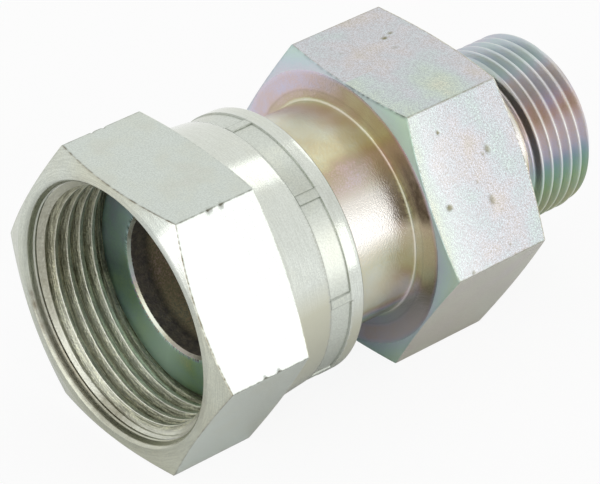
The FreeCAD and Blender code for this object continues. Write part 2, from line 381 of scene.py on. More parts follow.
def pits_in(rows, angles, pits):
    """How deep each point of the flats lies in one of the pits, and how much of it is stained."""
    depth, stain = np.zeros(rows.shape[:2]), np.zeros(rows.shape[:2])
    for flat, x, across, length, width, deep in pits:
        turn = (angles - flat + 180) % 360 - 180
        way = np.where(np.abs(turn) < 30, HALF_FLATS * np.tan(np.radians(np.clip(turn, -30, 30))), 99)
        reach = ((rows[..., 0] - x) / (length / 2)) ** 2 + ((way - across) / (width / 2)) ** 2
        shape = np.exp(-reach ** 2 * 0.7)
        depth += deep * shape
        stain = np.maximum(stain, shape * min(1, deep / DEEP_PIT))
    return depth, stain


def knocks_on(rows, angles, knocks):
    """How deep each point of the corners is knocked in."""
    depth = np.zeros(rows.shape[:2])
    for corner, x, length, deep in knocks:
        turn = np.radians((angles - corner + 180) % 360 - 180) * HALF_FLATS
        reach = ((rows[..., 0] - NUT_FACE - x) / (length / 2)) ** 2 + (turn / KNOCK_REACH) ** 2
        depth += deep * np.exp(-reach)
    return depth


def round_the_axis(angles, stops):
    """A value that changes smoothly round the axis, from its value at a few angles in degrees."""
    return np.interp(angles, list(stops), list(stops.values()), period=360)


def blend(first, second, share):
    """From the first value to the second as the share goes from 0 to 1."""
    return first + (second - first) * np.clip(share, 0, 1)


def uneven(along, spacing, low, high, seed):
    """A value that changes at random along a line, with a new value at every spacing."""
    knots = np.arange(along.min(), along.max() + spacing, spacing)
    return np.interp(along, knots, np.random.default_rng(seed).uniform(low, high, len(knots)))


def near_line(x, line, width=0.1):
    """How near a point lies to a line, from 1 on the line to almost 0 at two widths from it."""
    return np.exp(-((x - line) / width) ** 2)


def near_corners(angles):
    """How near a point lies to one of the hexagon's six corners, where the plating is worn."""
    off = np.radians(np.minimum(angles % 60, 60 - angles % 60)) * HALF_FLATS
    return np.exp(-(off / CORNER_WEAR) ** 2)


def turn_nose(skin):
    """Throat, the mouth's bevel and the nose face, out to where the shoulder starts."""
    angles = skin.angles
    rows = between(rows_of(angles, [
        (BORE_START, NOSE_BORE),
        (THROAT_END, NOSE_BORE, 0.3),
        (NOSE_FACE + MOUTH_DEPTH, THROAT),
    ]), spacing=0.25)
    # Painted shade: the bore darkens to purple-brown toward the throat
    in_throat = (THROAT_END + 1.4 - rows[..., 0]) / 1.2
    skin.band(rows, "bore", film=BORE_FILM, stain=blend(0, 0.9, in_throat))
    rows = rows_of(angles, [
        (NOSE_FACE + MOUTH_DEPTH, THROAT),
        (NOSE_FACE + MOUTH_DEPTH - 0.02, THROAT + 0.035),
        (NOSE_FACE + 0.02, MOUTH - 0.035),
        (NOSE_FACE, MOUTH),
    ])
    film = round_the_axis(angles, {0: 0.8, 20: 0.76, 250: 0.44, 275: 0.4, 295: 0.1, 312: 0.14, 325: 0.26,
                                   338: 0.62, 350: 0.8})
    # Painted shade on the mouth's bevel over most of the axis, lightest from 290 to 310 degrees
    dull = round_the_axis(angles, {0: 0.7, 10: 1, 240: 1, 250: 0.95, 270: 0.5, 290: 0.35, 310: 0.15,
                                   330: 0.45, 350: 0.5})
    skin.band(rows, "mouth", film=film, stain=dull)
    rows = between(rows_of(angles, [
        (NOSE_FACE, MOUTH),
        (NOSE_FACE, NOSE - NOSE_BEVEL, 0.15),
        (NOSE_FACE + NOSE_BEVEL, NOSE, 0.3, 4),
        (NOSE_FACE + NOSE_LENGTH, NOSE, 0.2),
    ]), spacing=0.6)
    film = round_the_axis(angles, {0: 0.72, 22: 0.68, 40: 0.6, 110: 0.62, 180: 0.72, 230: 0.8, 262: 0.93,
                                   285: 0.78, 305: 0.77, 335: 0.82})
    # Painted light on the nose face, strongest from 280 to 300 degrees, and painted shade from 325 to 342
    # degrees
    pale = round_the_axis(angles, {0: 0.2, 20: 0.25, 200: 0, 258: 0, 280: 0.85, 300: 0.5, 318: 0, 340: 0})
    dull = round_the_axis(angles, {308: 0, 325: 0.25, 342: 0.4, 356: 0})
    skin.band(rows, "nose", film=film, bare=pale, stain=dull)


def turn_barrel(skin, film):
    """Retaining shoulder and barrel, with a painted highlight, and painted dark reflection in brown toward
    the hexagon.
    """
    angles = skin.angles
    rows = between(rows_of(angles, [
        (NOSE_FACE + NOSE_LENGTH, NOSE, 0.2),
        (NOSE_FACE + NOSE_LENGTH + NOSE - BARREL, BARREL, 0.3),
        (ROOT_START, BARREL),
    ]), spacing=0.4)
    # Painted highlight on the barrel, strongest from 138 to 163 degrees
    pale = round_the_axis(angles, {75: 0.2, 85: 0.15, 112: 0, 122: 0.05, 130: 0.25, 138: 0.8, 158: 0.9,
                                   163: 0.6, 172: 0.15, 190: 0.25, 202: 0.1})
    # Painted dark reflection in brown on the barrel near the hexagon, from 135 to 162 degrees
    painted_dark_reflection = round_the_axis(angles, {115: 0, 135: 0.6, 154: 1, 162: 0})
    skin.band(rows, "barrel", film=film, bare=pale, stain=painted_dark_reflection * near_line(rows[..., 0], HEX_FRONT, 1.7))


def face_hexagon(skin, barrel_film):
    """The barrel's root, the hexagon's face with its rings of colour, and the corner bevels."""
    angles = skin.angles
    hexes, rise = hexagon(angles), bevel_rise(angles, HEX_CIRCLE, HEX_BEVEL)
    rows = between(rows_of(angles, [
        (ROOT_START, BARREL),
        (HEX_FRONT, BARREL, BARREL_FILLET, 6),
        (HEX_FRONT, HEX_CIRCLE),
    ]), spacing=0.25)
    r = rows[..., 1]
    root_film = round_the_axis(angles, {185: 0.23, 198: 0.7, 225: 0.7, 300: 0.5})
    face_film = round_the_axis(angles, {40: 0.52, 60: 0.47, 80: 0.45, 95: 0.25, 110: 0.31, 140: 0.37,
                                        155: 0.33, 170: 0.32, 185: 0.24, 200: 0.46, 230: 0.47, 300: 0.5})
    bevel_film = round_the_axis(angles, {60: 0.66, 118: 0.75, 122: 0.78, 150: 0.74, 180: 0.8})
    film = blend(barrel_film, root_film, (r - BARREL - 0.3) / 0.3)
    film = blend(film, face_film, (r - FILM_RING) / 0.7)
    by_bevel = (r - HEX_CIRCLE + 0.7) / 0.7
    # Painted light on the hexagon's face, strongest from 202 to 220 degrees
    pale = round_the_axis(angles, {72: 0, 85: 0.25, 98: 0.2, 110: 0, 155: 0, 165: 0.3, 175: 0.25, 185: 0,
                                   192: 0.1, 202: 0.95, 220: 0.7, 240: 0.3})
    # Painted dark reflection on the face from 124 to 156 degrees, weaker toward the barrel
    painted_dark_reflection = round_the_axis(angles, {112: 0, 124: 0.15, 138: 0.75, 156: 0.95, 162: 0})
    painted_dark_reflection = painted_dark_reflection * blend(0.2, 1, (r - FILM_RING) / 0.8)
    skin.band(rows, "face", film=blend(film, bevel_film - 0.12, by_bevel), bare=blend(pale, 0.3, by_bevel),
              stain=painted_dark_reflection * (1 - np.clip(by_bevel, 0, 1)) + 0.3 * near_line(r, FILM_RING + 0.05))
    rows = between(rows_of(angles, [
        (HEX_FRONT, HEX_CIRCLE),
        (HEX_FRONT + rise, hexes, 0.05),
        (HEX_FRONT + rise + HEX_EDGE, hexes),
    ]), spacing=0.3)
    out = (rows[..., 1] - HEX_CIRCLE) / 2.5
    # Painted highlight on the corner bevels, strongest near 126 degrees
    pale = round_the_axis(angles, {60: 0.1, 105: 0.3, 120: 0.5, 126: 0.7, 150: 0.35, 178: 0})
    nicked = round_the_axis(angles, {60: 0.2, 90: 0.4, 100: 0.8, 119: 0.9, 121: 0.25, 175: 0.2})
    nicked = nicked * uneven(angles, 1.2, 0.3, 1.4, seed=1)
    skin.band(rows, "bevels", film=blend(bevel_film - 0.12, bevel_film + 0.08, out), bare=pale,
              stain=nicked * near_line(rows[..., 0], HEX_FRONT + rise + 0.03, 0.09))


def mill_flats(skin):
    """The body's flats, with their pits, clouds of colour, worn edges, and painted light that differs from
    flat to flat.
    """
    angles = skin.angles
    hexes, rise = hexagon(angles), bevel_rise(angles, HEX_CIRCLE, HEX_BEVEL)
    front_line, rear_line = HEX_FRONT + rise + HEX_EDGE, HEX_REAR - rise - HEX_EDGE
    rows = between(rows_of(angles, [(front_line, hexes), (rear_line, hexes)]), spacing=0.16)
    depth, stain = pits_in(rows, angles, BODY_PITS)
    rows[..., 1] -= depth
    x = rows[..., 0]
    top, lower = np.abs(angles - 90) < 30, np.abs(angles - 210) < 30
    along = (x - HEX_FRONT) / (HEX_REAR - HEX_FRONT)
    across = HALF_FLATS * np.tan(np.radians(np.clip(angles - 90, -30, 30)))
    front_cloud = 0.25 * near_line(along, 0.05, 0.2) * (across > 0)
    straw_cloud = 0.4 * near_line(along, 0.55, 0.2) * near_line(across, 8, 4)
    film_on_side = 0.58 + 0.3 * near_line(along, 0, 0.1) + 0.08 * np.clip((along - 0.6) * 4, 0, 1)
    film = np.where(top, 0.55 + front_cloud + straw_cloud, np.where(lower, 0.31, film_on_side))
    # Painted light: the top and lower flats a little paler, and the other flats paler in a band near their
    # front
    pale = np.where(top, 0.05, np.where(lower, 0.12, 0.25 * near_line(along, 0.1, 0.25)))
    edges = np.maximum(near_line(x, front_line), near_line(x, rear_line))
    edges = edges * uneven(angles, 1.2, 0.2, 1, seed=2)
    corners = near_corners(angles) * uneven(along, 0.03, 0.4, 1, seed=3)
    skin.band(rows, "flats", film=film, bare=pale, stain=np.maximum(stain, 0.8 * np.maximum(edges, corners)))


def turn_collar(skin):
    """Rear bevels, sealing collar with the seal's recess, and neck, which turns gold at its end, under a
    painted highlight.
    """
    angles = skin.angles
    hexes, rise = hexagon(angles), bevel_rise(angles, HEX_CIRCLE, HEX_BEVEL)
    rows = between(rows_of(angles, [
        (HEX_REAR - rise - HEX_EDGE, hexes),
        (HEX_REAR - rise, hexes, 0.05),
        (HEX_REAR, HEX_CIRCLE, 0.1),
        (HEX_REAR, COLLAR, 0.1),
        (-COLLAR_BEVEL, COLLAR, 0.05),
        (0, COLLAR - COLLAR_BEVEL, 0.05),
        (0, RECESS, 0.05),
        (-RECESS_DEPTH, RECESS, 0.05),
        (-RECESS_DEPTH, NECK, 0.05),
        (NECK_END, NECK),
    ]), spacing=0.3)
    gold = np.clip((rows[..., 0] - NECK_END + 0.4) / 0.2, 0, 1)
    # Painted highlight on the collar and neck, strongest from 145 to 156 degrees, fainter where the neck
    # turns gold
    pale = round_the_axis(angles, {60: 0.2, 110: 0.05, 130: 0.6, 145: 1, 156: 1, 170: 0, 190: 0.3})
    skin.band(rows, "barrel", film=0.1 + 0.12 * gold, bare=pale * (1 - 0.6 * gold))


def cut_stud(skin):
    """The stud's thread, with painted highlights on its crests between flanks of changing colour, then its
    end and its bore.
    """
    angles = skin.angles
    rows = helical_rows(angles, NECK_END, STUD_END, STUD_PITCH, STUD_CREST, STUD_ROWS, stud_radius)
    film = round_the_axis(angles, {60: 0.64, 90: 0.68, 102: 0.68, 112: 0.52, 120: 0.53, 130: 0.5, 141: 0.43,
                                   152: 0.5, 165: 0.53, 176: 0.72, 190: 0.86, 210: 0.98, 300: 0.7})
    # Painted highlight along the crests
    crest = np.clip((rows[..., 1] - STUD_RADIUS + 0.025) / 0.02, 0, 1) * uneven(angles, 4, 0.55, 1, seed=8)
    # Painted light, most from 90 to 122 degrees
    pale = round_the_axis(angles, {82: 0.2, 90: 0.35, 106: 0.35, 122: 0.3, 132: 0, 140: 0, 150: 0.15,
                                   165: 0.2, 175: 0})
    # Painted shade, most from 116 to 124 degrees and beyond 200
    dull = round_the_axis(angles, {82: 0.05, 90: 0.15, 106: 0.1, 116: 0.22, 124: 0.22, 132: 0, 190: 0,
                                   200: 0.12})
    skin.band(rows, "stud", len(STUD_ROWS), film=film, bare=np.maximum(crest, pale),
              stain=dull * (1 - crest))
    rows = between(rows_of(angles, [
        (STUD_END, STUD_RADIUS - STUD_BEVEL),
        (STUD_END, STUD_BORE + BORE_EDGE, 0.1),
        (STUD_END - BORE_EDGE, STUD_BORE, 0.1),
        (FACED_END, STUD_BORE),
    ]), spacing=0.5)
    skin.band(rows, "face", film=0.6, bare=0.3)
    bore_end = NOSE_FACE + NOSE_BORE_DEPTH
    rows = between(rows_of(angles, [
        (FACED_END, STUD_BORE),
        (bore_end + (NOSE_BORE - STUD_BORE) / math.tan(DRILL_POINT), STUD_BORE, 0.1),
        (bore_end, NOSE_BORE, 0.1),
        (BORE_START, NOSE_BORE),
    ]), spacing=1.0)
    skin.band(rows, "bore", film=BORE_FILM)


def make_body(finishes):
    """Nose, barrel, hexagon, collar and threaded stud, as one closed skin round its bore."""
    skin = Turning("body_of_fitting", degrees_round(step=0.6, extra=CORNER_COLUMNS), finishes)
    barrel_film = round_the_axis(skin.angles, {60: 0.16, 95: 0.2, 112: 0.21, 120: 0.38, 130: 0.39, 142: 0.2,
                                               150: 0.1, 165: 0.22, 200: 0.13, 215: 0.95})
    turn_nose(skin)
    turn_barrel(skin, barrel_film)
    face_hexagon(skin, barrel_film)
    mill_flats(skin)
    turn_collar(skin)
    cut_stud(skin)
    skin.finish_mesh("adapter", "adapter_body")


def nut_lines(angles):
    """Where the nut's flats start and end on the axis, behind its front bevels and before its rear ones."""
    front = NUT_FACE + bevel_rise(angles, HEX_CIRCLE, NUT_BEVEL) + NUT_EDGE
    rear = NUT_FACE + NUT_HEX_LENGTH - bevel_rise(angles, SKIRT_ROOT, NUT_REAR_BEVEL) - NUT_EDGE
    return front, rear


def face_nut(skin, front_nicks):
    """The nut's stepped mouth, face and corner bevels, with rusty marks in the mouth, worn edges, painted
    shade on the counterbore wall and face ring, and a painted highlight on the bevels.
    """
    angles, hexes = skin.angles, hexagon(skin.angles)
    front_line, rear_line = nut_lines(angles)
    rows = between(rows_of(angles, [
        (SOCKET_START, LEAD_IN),
        (SOCKET_START - GROOVE_WALL, COUNTERBORE, 0.02),
        (NUT_FACE + COUNTERBORE_END + STEP_WIDTH + GROOVE_WALL, COUNTERBORE, 0.02),
        (NUT_FACE + COUNTERBORE_END + STEP_WIDTH, COUNTERBORE - STEP_RISE, 0.02),
        (NUT_FACE + COUNTERBORE_END, COUNTERBORE, 0.04),
        (NUT_FACE + MOUTH_EDGE, NUT_MOUTH - MOUTH_EDGE, 0.15),
        (NUT_FACE, NUT_MOUTH, 0.12),
        (NUT_FACE, HEX_CIRCLE, 0.06),
        (front_line - NUT_EDGE, hexes, 0.06),
        (front_line, hexes),
    ]), spacing=0.35)
    r = rows[..., 1]
    film = round_the_axis(angles, {0: 0.08, 63: 0.08, 75: 0.16, 100: 0.14, 110: 0.04, 130: 0.02, 160: 0.14,
                                   200: 0.16, 270: 0.16, 340: 0.08})
    # Painted highlight on the bevels and the face's outer edge, from 121 to 138 degrees
    lit = round_the_axis(angles, {117: 0, 121: 1, 127: 0.9, 138: 0.4, 146: 0})
    edge = front_nicks * near_line(rows[..., 0], front_line, 0.13) * (r > HEX_CIRCLE - 0.1)
    rusty = round_the_axis(angles, {240: 0, 265: 0.5, 305: 0.5, 317: 1, 337: 1, 350: 0})
    rust_and_painted_shade = near_line(r, NUT_MOUTH - 0.25, 0.3) * rusty * uneven(angles, 2.5, 0.35, 0.8, seed=7)
    # Painted shade on the counterbore wall, strongest from 280 to 335 degrees, joined to the rusty marks at
    # the mouth's edge
    painted_wall_shade = round_the_axis(angles, {10: 0.1, 60: 0, 240: 0.1, 280: 0.5, 310: 0.6, 335: 0.5, 350: 0.2})
    rust_and_painted_shade = np.maximum(rust_and_painted_shade, painted_wall_shade * (r < NUT_MOUTH - MOUTH_EDGE))
    # Painted shade on the face ring near 70, 130 and 188 degrees
    dull = round_the_axis(angles, {60: 0, 70: 0.12, 85: 0, 115: 0, 130: 0.08, 150: 0, 172: 0, 188: 0.22,
                                   205: 0})
    dull = dull * (r > NUT_MOUTH) * (r < HEX_CIRCLE - 0.1)
    skin.band(rows, "turned", film=film, bare=lit * np.clip((r - HEX_CIRCLE + 0.7) / 0.9, 0, 1),
              stain=np.maximum(np.maximum(edge, rust_and_painted_shade), dull))


def mill_nut_flats(skin, front_nicks):
    """The nut's flats, with knocked corners, worn edges, and a painted highlight on the flat round 150
    degrees.
    """
    angles, hexes = skin.angles, hexagon(skin.angles)
    front_line, rear_line = nut_lines(angles)
    rows = between(rows_of(angles, [(front_line, hexes), (rear_line, hexes)]), spacing=0.16)
    knocks = knocks_on(rows, angles, NUT_KNOCKS)
    rows[..., 1] -= knocks
    x = rows[..., 0]
    rear_nicks = uneven(angles, 1.5, 0, 0.4, seed=5)
    edges = front_nicks * near_line(x, front_line, 0.13) + rear_nicks * near_line(x, rear_line)
    corners = near_corners(angles) * uneven(x, 0.5, 0.2, 0.9, seed=6)
    # The flat round 150 degrees gets a painted highlight and its own film
    side = np.abs(angles - 150) < 30
    skin.band(rows, "flats", film=0.5 * side, bare=0.6 * side,
              stain=np.clip(np.maximum(edges, corners) + 3 * knocks, 0, 1))


def crimp_skirt(skin):
    """The tapered skirt, the prints of the crimping dies in it, and its closed end down to the lip, with
    painted shade on the skirt's lower side and near 130 degrees, and painted highlight and shade on the
    prints.
    """
    angles, hexes = skin.angles, hexagon(skin.angles)
    print_start, print_end = NUT_FACE + PRINT_START, NUT_FACE + PRINT_END
    rear_line = nut_lines(angles)[1]
    rows = between(rows_of(angles, [
        (rear_line, hexes),
        (rear_line + NUT_EDGE, hexes, 0.06),
        (NUT_FACE + NUT_HEX_LENGTH, SKIRT_ROOT, 0.15),
        (print_start - 0.12, SKIRT),
    ]), spacing=0.4)
    # Painted shade: the skirt's lower side, from 172 to 300 degrees, takes the darker yellow-grey colour
    skin.band(rows, "skirt", bare=round_the_axis(angles, {160: 0, 172: 1}) * (angles < 300))
    turn = (angles - RIB_TURN + 180 / PRINTS) % (360 / PRINTS) - 180 / PRINTS
    print_radius = SKIRT - PRINT_DEPTH * (np.abs(turn) > RIB_HALF_ANGLE + 0.1)
    rows = between(rows_of(angles, [
        (print_start - 0.12, SKIRT),
        (print_start - 0.02, SKIRT - 0.07),
        (print_start + 0.08, print_radius),
        (print_end - 0.1, print_radius),
        (print_end, SKIRT),
        (print_end + 0.1, SKIRT),
    ]), spacing=0.25)
    x = rows[..., 0]
    # Painted highlight on the prints from 144 to 160 degrees
    pale = round_the_axis(angles, {133: 0, 144: 0.4, 160: 0.3, 170: 0})
    # Painted shade on the prints from 115 to 126 degrees, and from 188 degrees round to 105
    dull = round_the_axis(angles, {105: 0, 115: 0.25, 126: 0.25, 136: 0, 188: 0, 205: 0.25})
    outline = np.maximum(near_line(x, print_start - 0.02, 0.08), 0.7 * near_line(x, print_end - 0.05, 0.07))
    outline = np.maximum(outline, 0.7 * near_line(np.abs(turn), RIB_HALF_ANGLE + 0.18, 0.3))
    skin.band(rows, "crimped", bare=pale, stain=np.maximum(dull, outline))
    rows = between(rows_of(angles, [
        (print_end + 0.1, SKIRT),
        (NUT_END, SKIRT, SKIRT_EDGE, 5),
        (NUT_END, SKIRT - SKIRT_EDGE - 0.2),
    ]), spacing=0.5)
    # Painted shade on the skirt's end: its lower side from 190 to 300 degrees, and a band near 130 degrees
    skin.band(rows, "skirt", bare=round_the_axis(angles, {175: 0, 190: 1}) * (angles < 300),
              stain=round_the_axis(angles, {120: 0, 128: 0.15, 134: 0.15, 142: 0}))
    rows = between(rows_of(angles, [
        (NUT_END, SKIRT - SKIRT_EDGE - 0.2),
        (NUT_END, LIP + LIP_BEVEL, 0.08),
        (NUT_END - LIP_BEVEL, LIP, 0.08),
        (NUT_FACE + LIP_START, LIP, 0.1),
        (NUT_FACE + NOSE_ROOM_END, NOSE_ROOM, 0.2),
    ]), spacing=0.6)
    skin.band(rows, "turned")


def cut_socket(skin):
    """The room for the nose, and the nut's thread, whose smooth lead-in cone is paler, with painted shade
    round the axis on cone and thread, and painted highlights on the crests and from 285 to 320 degrees.
    """
    angles = skin.angles
    rows = between(rows_of(angles, [
        (NUT_FACE + NOSE_ROOM_END, NOSE_ROOM),
        (SOCKET_END, NOSE_ROOM),
    ]), spacing=0.6)
    skin.band(rows, "thread")
    rows = helical_rows(angles, SOCKET_START, SOCKET_END, NUT_PITCH, NUT_RIDGE, NUT_ROWS, socket_radius)
    smooth = np.clip(1 - (rows[..., 0] - SOCKET_START - 0.9) / 0.3, 0, 1)
    # Painted shade on the lead-in cone, darkest near 275 degrees and from 330 to 20 degrees
    dull = round_the_axis(angles, {0: 0.65, 20: 0.6, 40: 0.4, 120: 0.2, 215: 0.45, 225: 0.45, 236: 0.05,
                                   260: 0.3, 275: 0.85, 283: 0.8, 292: 0.2, 315: 0.25, 328: 0.6, 340: 0.75})
    # Painted shade on the thread from 335 to 70 degrees
    shade = round_the_axis(angles, {0: 0.35, 40: 0.35, 70: 0, 335: 0})
    # Painted highlights: from 285 to 320 degrees, and along the crests
    lit = round_the_axis(angles, {262: 0, 285: 0.3, 320: 0.3, 338: 0})
    crest_highlight = near_line(rows[..., 1], NUT_THREAD_RADIUS + 0.05, 0.04)
    skin.band(rows, "thread", len(NUT_ROWS), bare=np.maximum(np.maximum(0.75 * smooth, crest_highlight), lit),
              stain=blend(shade, dull, smooth))


def make_nut(finishes):
    """Hexagon, crimped skirt and threaded socket, as one closed skin."""
    columns = degrees_round(step=0.6, extra=CORNER_COLUMNS + RIB_COLUMNS)
    skin = Turning("nut_of_fitting", columns, finishes)
    front_nicks = uneven(skin.angles, 0.9, 0.1, 1.3, seed=4)
    face_nut(skin, front_nicks)
    mill_nut_flats(skin, front_nicks)
    crimp_skirt(skin)
    cut_socket(skin)
    skin.finish_mesh("nut", "swivel_nut")


def make_seal_ring(finishes):
    """The stud's moulded seal ring, in the collar's recess."""
    back, front, outer = seal_low.x, seal_high.x, seal_high.z
    inner = outer - SEAL_WIDTH
    skin = Turning("seal_of_stud", degrees_round(step=1.5), finishes)
    skin.band(rows_of(skin.angles, [
        (back, inner + 0.3),
        (back, outer, 0.1),
        (front - SEAL_BEVEL, outer, 0.15),
        (front, outer - SEAL_BEVEL, 0.15),
        (front, inner + SEAL_BEVEL, 0.15),
        (front - SEAL_BEVEL, inner, 0.15),
        (back, inner, 0.1),
        (back, inner + 0.3),
    ]), "rubber")
    skin.finish_mesh("adapter", "stud_seal_ring")


def linear(colour):
    """A linear colour from an sRGB hex value."""
    parts = [int(colour[i:i + 2], 16) / 255 for i in (1, 3, 5)]
    return tuple(c / 12.92 if c <= 0.04045 else ((c + 0.055) / 1.055) ** 2.4 for c in parts) + (1.0,)


def add(tree, kind, inputs, stops=None, **settings):
    """Adds a node with its settings, its inputs, which are values or links, and a ramp's stops.

    A mix node has its two numbers at the inputs 2 and 3, and its two colours at 6 and 7.
    """
    node = tree.nodes.new(kind)
    for name, value in settings.items():
        setattr(node, name, value)
    for name, value in inputs.items():
        if isinstance(value, bpy.types.NodeSocket):
            tree.links.new(value, node.inputs[name])
        else:
            node.inputs[name].default_value = value
    if stops:
        while len(node.color_ramp.elements) < len(stops):
            node.color_ramp.elements.new(0.5)
        for element, (place, colour) in zip(node.color_ramp.elements, stops):
            element.position = place
            element.color = linear(colour)
    return node.outputs[0] if node.outputs else node


BARE_ZINC = "#C8CFC8"
# Dark grey-olive of worn edges and of dirt in lines and grains, and the colour of painted shade on the
# mouth's bevel, the stud and the nut's skirt
WORN_EDGE_AND_PAINTED_SHADE = "#6E6D60"
# Interference colours of a passivation film, from none to thick
FILM_COLOURS = [
    (0.00, BARE_ZINC),
    (0.14, "#C9C9AE"),
    (0.26, "#C0B58A"),
    (0.36, "#B39C7C"),
    (0.46, "#C4A9A4"),
    (0.56, "#BDB3CA"),
    (0.66, "#A8B8C8"),
    (0.76, "#A5C3BC"),
    (0.88, "#A9C4A0"),
    (1.00, "#C4C795"),
]
# How fast the turning lines' noise changes round the axis, in mm for each radian: slowly enough for streaks
STREAK_REACH = 1.2
# Size of the film's soft clouds, in mm
CLOUD_SIZE = 6.0
# How thick the film is in the bores
BORE_FILM = 0.28


def empty_tree(owner):
    """The nodes of a material or of the room, cleared."""
    owner.use_nodes = True
    owner.node_tree.nodes.clear()
    return owner.node_tree


def start_material(name):
    """An empty material, and the place on its piece in millimetres."""
    material = bpy.data.materials.new(name)
    tree = empty_tree(material)
    spot = add(tree, "ShaderNodeTexCoord", {}).node.outputs["Object"]
    place = add(tree, "ShaderNodeVectorMath", {0: spot, 1: (1 / MM,) * 3}, operation="MULTIPLY")
    return material, tree, place


def noise(tree, place, size, low, high, detail=2.0):
    """A noise with features of a size in mm, whose middle values are spread from low to high."""
    value = add(tree, "ShaderNodeTexNoise", {"Vector": place, "Scale": 1 / size, "Detail": detail,
                                             "Roughness": 0.6})
    return add(tree, "ShaderNodeMapRange", {"Value": value, "From Min": 0.3, "From Max": 0.7,
                                            "To Min": low, "To Max": high}, clamp=False)


def turning_lines(tree, place):
    """A point's place along the axis, away from it and round it, drawn out so that noise makes streaks."""
    split = add(tree, "ShaderNodeSeparateXYZ", {"Vector": place}).node
    turn = add(tree, "ShaderNodeMath", {0: split.outputs["Y"], 1: split.outputs["Z"]}, operation="ARCTAN2")
    drawn_out = add(tree, "ShaderNodeMath", {0: turn, 1: STREAK_REACH}, operation="MULTIPLY")
    around = add(tree, "ShaderNodeCombineXYZ", {"X": 0.0, "Y": split.outputs["Y"], "Z": split.outputs["Z"]})
    radius = add(tree, "ShaderNodeVectorMath", {0: around}, operation="LENGTH").node.outputs["Value"]
    return add(tree, "ShaderNodeCombineXYZ", {"X": split.outputs["X"], "Y": radius, "Z": drawn_out})


def plated_steel(name, metal=BARE_ZINC, bright=BARE_ZINC, share=0.2, deep=1.0, drift=0.1, fleck=0.1,
                 grain=0.22, grit=0.01, speckle=0.0, ring=0.16, lines=0.0, dirt=0.0, soil=WORN_EDGE_AND_PAINTED_SHADE,
                 roughness=0.25, oxide=0.0, spot_and_painted_shade_colour=WORN_EDGE_AND_PAINTED_SHADE):
    """Steel under a zinc coat and the film of its passivation, from clear to strongly coloured.

    The share of the film's colour, how deep it is, its drift in clouds and its flecks make the tint;
    grain and ring are the sizes of the grains and turning lines in mm, and grit and lines their heights.
    Speckle darkens the grains and dirt the lines, both toward the soil's colour. Bright is the colour where
    the mesh says bare: paler zinc and painted highlights, and painted shade on the nut skirt's lower side.
    Spots is the colour where it says stain: pits, worn edges, rusty marks and painted shade. Oxide takes the
    metal's share down.
    """
    material, tree, place = start_material(name)
    film, bare, stain = (add(tree, "ShaderNodeAttribute", {}, attribute_name=field).node.outputs["Fac"]
                         for field in FIELDS)
    clouds = noise(tree, place, CLOUD_SIZE, low=-drift - fleck, high=drift - fleck)
    grains = noise(tree, place, grain, low=0.0, high=1.0)
    rings = noise(tree, turning_lines(tree, place), ring, low=0.0, high=1.0, detail=3.0)
    thickness = add(tree, "ShaderNodeMath", {0: film, 1: clouds}, operation="ADD")
    thickness = add(tree, "ShaderNodeMath", {0: grains, 1: 2 * fleck, 2: thickness},
                    operation="MULTIPLY_ADD")
    tint = add(tree, "ShaderNodeValToRGB", {"Fac": thickness}, stops=FILM_COLOURS)
    tint = add(tree, "ShaderNodeGamma", {"Color": tint, "Gamma": deep})
    colour = add(tree, "ShaderNodeMix", {"Factor": share, 6: linear(metal), 7: tint},
                 data_type="RGBA").node.outputs[2]
    dirty_lines, dark_grains = (add(tree, "ShaderNodeMapRange", {"Value": pattern, "From Min": 0.25,
                                                                 "From Max": 0.75, "To Min": amount,
                                                                 "To Max": 0.0})
                                for amount, pattern in ((dirt, rings), (speckle, grains)))
    broken = noise(tree, place, size=0.8, low=0.8, high=1.1)
    broken = add(tree, "ShaderNodeMath", {0: stain, 1: broken}, operation="MULTIPLY")
    for cover, shade in ((dirty_lines, soil), (dark_grains, soil), (bare, bright), (broken, spot_and_painted_shade_colour)):
        colour = add(tree, "ShaderNodeMix", {"Factor": cover, 6: colour, 7: linear(shade)},
                     data_type="RGBA").node.outputs[2]
    height = add(tree, "ShaderNodeMath", {0: grains, 1: grit * MM}, operation="MULTIPLY")
    height = add(tree, "ShaderNodeMath", {0: rings, 1: lines * MM, 2: height}, operation="MULTIPLY_ADD")
    normal = add(tree, "ShaderNodeBump", {"Height": height, "Strength": 1.0, "Distance": 1.0})
    surface = add(tree, "ShaderNodeBsdfPrincipled", {"Base Color": colour, "Metallic": 1 - oxide,
                                                     "Roughness": roughness, "Normal": normal})
    add(tree, "ShaderNodeOutputMaterial", {"Surface": surface})
    return material


def nitrile_rubber():
    """Moulded nitrile rubber, which is black and dull with a faint sheen."""
    material, tree, place = start_material("moulded_nitrile_rubber")
    height = noise(tree, place, size=0.3, low=0.0, high=0.01 * MM)
    normal = add(tree, "ShaderNodeBump", {"Height": height, "Strength": 1.0, "Distance": 1.0})
    surface = add(tree, "ShaderNodeBsdfPrincipled", {"Base Color": linear("#1C1C1D"), "Roughness": 0.55,
                                                     "Normal": normal})
    add(tree, "ShaderNodeOutputMaterial", {"Surface": surface})
    return material


# The white of table and room: to the camera, in reflections, and as light on what stands there
TABLE_SEEN = 0.9
ROOM_LIGHT = 0.75
TABLE_RADIUS = 0.3
TABLE_SIDES = 64
# Steel mirrors the table's own shade in an oval round the fitting, and pure white outside it: the oval's
# squeeze, the shift that centres it, and where the white starts and is full, in metres
OVAL_SQUEEZE, OVAL_SHIFT = (0.4, 1, 0), (0.009, 0, 0)
WHITE_START, WHITE_END = 0.01, 0.07


